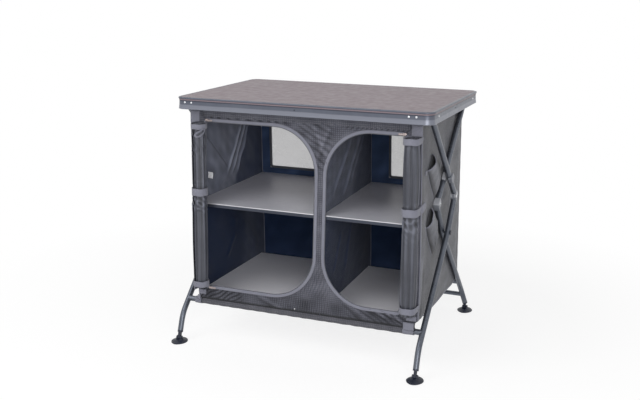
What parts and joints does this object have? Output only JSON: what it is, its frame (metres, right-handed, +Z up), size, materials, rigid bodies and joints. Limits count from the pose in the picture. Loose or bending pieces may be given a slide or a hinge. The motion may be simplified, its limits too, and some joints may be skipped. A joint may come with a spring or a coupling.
{
  "type": "folding camping cupboard",
  "caption": "Folding cupboard with a lift-off tabletop, two scissor frames and a cloth body with two D-shaped door openings and a shelf.",
  "frame": {"origin": "on the ground, under the middle of the tabletop", "axes": "+X to the right seen from the front, +Y to the back, +Z up"},
  "size_m": [0.9, 0.76, 0.846],
  "materials": {
    "frame_tube": "dark grey powder coat, satin",
    "black_plastic": "moulded plastic, nearly black",
    "pin_steel": "bare steel rivets",
    "front_weave": "dark grey coarse weave with a faint grid",
    "grey_cloth": "grey coated polyester",
    "light_trim": "light grey tape and piping",
    "window_mesh": "light grey mesh",
    "board": "light grey laminated board",
    "board_edge": "bright edge strip",
    "rim_metal": "satin aluminium",
    "laminate": "taupe grey laminate, fine grain",
    "zip_metal": "polished metal"
  },
  "bodies": {
    "front_frame": {"front_leg_left": "frame_tube", "front_leg_right": "frame_tube", "front_low_crossbar": "frame_tube", "rear_knuckle_bases": "black_plastic", "rear_knuckle_pins": "pin_steel", "lower_pivots": "black_plastic", "front_ankles": "black_plastic", "front_hem_sleeve": "front_weave", "floor_board_left": "board", "floor_board_right": "board", "front_panel": "front_weave", "side_panel_left": "grey_cloth", "side_panel_right": "grey_cloth", "back_panel": "grey_cloth", "back_windows": "window_mesh", "divider": "grey_cloth", "corner_patches": "light_trim", "door_binding_left": "light_trim", "door_binding_right": "light_trim", "door_roll_left": "grey_cloth", "door_roll_right": "grey_cloth", "roll_straps_left": "light_trim", "roll_straps_right": "light_trim", "side_pockets": "grey_cloth", "care_tag": "light_trim"},
    "front_upper": {"front_upper_tube_left": "frame_tube", "front_upper_tube_right": "frame_tube", "front_top_crossbar": "frame_tube", "rear_knuckle_forks": "black_plastic", "crossing_collars": "black_plastic", "front_top_sleeve": "front_weave"},
    "rear_frame": {"rear_leg_left": "frame_tube", "rear_leg_right": "frame_tube", "rear_low_crossbar": "frame_tube", "rear_spreader": "frame_tube", "front_knuckle_bases": "black_plastic", "front_knuckle_pins": "pin_steel", "rear_ankles": "black_plastic", "rear_hem_sleeve": "grey_cloth"},
    "rear_upper": {"rear_upper_tube_left": "frame_tube", "rear_upper_tube_right": "frame_tube", "rear_top_crossbar": "frame_tube", "front_knuckle_forks": "black_plastic", "crossing_plates": "black_plastic", "rear_top_sleeve": "grey_cloth"},
    "tabletop": {"rim_rails": "rim_metal", "rim_corners": "rim_metal", "top_panel": "laminate", "top_battens": "rim_metal", "rim_rivets": "pin_steel"},
    "shelf": {"shelf_board_left": "board", "shelf_board_right": "board", "shelf_edges": "board_edge"},
    "front_left_foot": {"front_foot_left": "black_plastic"},
    "front_right_foot": {"front_foot_right": "black_plastic"},
    "rear_left_foot": {"rear_foot_left": "black_plastic"},
    "rear_right_foot": {"rear_foot_right": "black_plastic"},
    "slider_top_left": {"zip_slider_top_left": "zip_metal"},
    "slider_top_right": {"zip_slider_top_right": "zip_metal"},
    "slider_bottom_left": {"zip_slider_bottom_left": "zip_metal"}
  },
  "joints": [
    {"name": "front_upper_fold", "type": "hinge", "parent": "front_frame", "child": "front_upper", "pos_m": [0, 0.06741, 0.511], "axis": [1, 0, 0], "range_deg": [0, 80], "deforming": ["front_panel", "side_panel_left", "side_panel_right", "back_panel", "back_windows", "divider", "corner_patches", "door_binding_left", "door_binding_right", "door_roll_left", "door_roll_right", "roll_straps_left", "roll_straps_right", "side_pockets", "care_tag"]},
    {"name": "legs_close", "type": "hinge", "parent": "front_frame", "child": "rear_frame", "pos_m": [0, 0, 0.398], "axis": [1, 0, 0], "range_deg": [-72, 0]},
    {"name": "rear_upper_fold", "type": "hinge", "parent": "rear_frame", "child": "rear_upper", "pos_m": [0, -0.06741, 0.511], "axis": [1, 0, 0], "range_deg": [-80, 0]},
    {"name": "shelf_drop", "type": "slide", "parent": "front_frame", "child": "shelf", "axis": [0, 0, -1], "range_m": [0, 0.3]},
    {"name": "tabletop_lift", "type": "slide", "parent": "front_frame", "child": "tabletop", "axis": [0, 0, 1], "range_m": [0, 0.15]},
    {"name": "front_left_foot_tilt", "type": "hinge", "parent": "front_frame", "child": "front_left_foot", "pos_m": [-0.425, -0.346, 0.014], "axis": [1, 0, 0], "range_deg": [-18, 18]},
    {"name": "front_right_foot_tilt", "type": "hinge", "parent": "front_frame", "child": "front_right_foot", "pos_m": [0.425, -0.346, 0.014], "axis": [1, 0, 0], "range_deg": [-18, 18]},
    {"name": "rear_left_foot_tilt", "type": "hinge", "parent": "rear_frame", "child": "rear_left_foot", "pos_m": [-0.4175, 0.346, 0.014], "axis": [1, 0, 0], "range_deg": [-18, 18]},
    {"name": "rear_right_foot_tilt", "type": "hinge", "parent": "rear_frame", "child": "rear_right_foot", "pos_m": [0.4175, 0.346, 0.014], "axis": [1, 0, 0], "range_deg": [-18, 18]},
    {"name": "zip_top_left", "type": "slide", "parent": "front_frame", "child": "slider_top_left", "axis": [1, 0, 0], "range_m": [0, 0.2]},
    {"name": "zip_top_right", "type": "slide", "parent": "front_frame", "child": "slider_top_right", "axis": [-1, 0, 0], "range_m": [0, 0.08]},
    {"name": "zip_bottom_left", "type": "slide", "parent": "front_frame", "child": "slider_bottom_left", "axis": [1, 0, 0], "range_m": [0, 0.2]}
  ],
  "couplings": [
    {"joint": "legs_close", "follows": "front_upper_fold", "ratio": -0.9},
    {"joint": "rear_upper_fold", "follows": "front_upper_fold", "ratio": -1},
    {"joint": "shelf_drop", "follows": "front_upper_fold", "m_per_rad": 0.21485}
  ]
}
